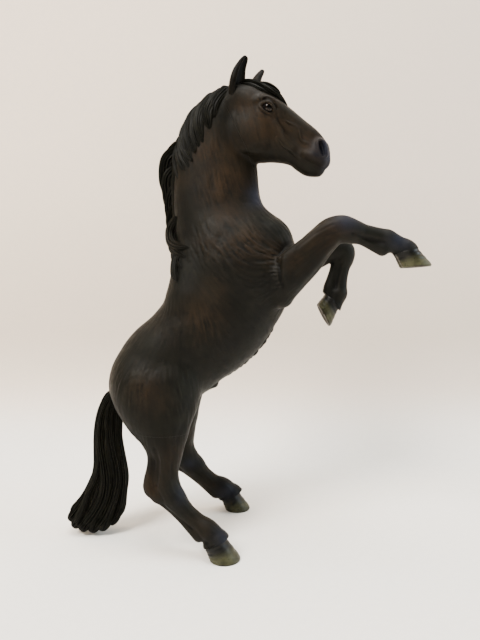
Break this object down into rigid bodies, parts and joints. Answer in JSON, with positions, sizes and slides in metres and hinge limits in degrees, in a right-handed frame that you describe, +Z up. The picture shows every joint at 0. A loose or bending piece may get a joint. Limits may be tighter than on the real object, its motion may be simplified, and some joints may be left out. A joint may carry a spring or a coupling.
{
  "type": "rearing horse figurine",
  "caption": "Rearing horse figurine with a turned head, raised forelegs and a tail that reaches the ground as its third support.",
  "frame": {"origin": "centre of the bounding box at the level of the soles", "axes": "+X where the horse faces, +Y to its left side, +Z up"},
  "size_m": [0.1078, 0.0434, 0.1431],
  "materials": {
    "coat_paint": "satin dark brown paint with a dry-brushed lighter brown",
    "hair_paint": "satin greenish black paint in grooved hair",
    "horn_paint": "satin olive horn colour with dark speckles",
    "eye_gloss": "glossy near-black",
    "peg_plastic": "unpainted moulded plastic"
  },
  "bodies": {
    "root": {"body": "coat_paint", "head": "coat_paint", "right_ear": "coat_paint", "left_ear": "coat_paint", "right_eye": "eye_gloss", "left_eye": "eye_gloss", "forelock": "hair_paint", "mane": "hair_paint", "tail": "hair_paint", "right_foreleg": "coat_paint", "left_foreleg": "coat_paint", "right_hind_leg": "coat_paint", "left_hind_leg": "coat_paint", "right_fore_hoof": "horn_paint", "left_fore_hoof": "horn_paint", "right_hind_hoof": "horn_paint", "left_hind_hoof": "horn_paint", "head_pin": "peg_plastic", "tail_pin": "peg_plastic", "right_foreleg_pin": "peg_plastic", "left_foreleg_pin": "peg_plastic", "right_hind_leg_pin": "peg_plastic", "left_hind_leg_pin": "peg_plastic"}
  },
  "joints": []
}
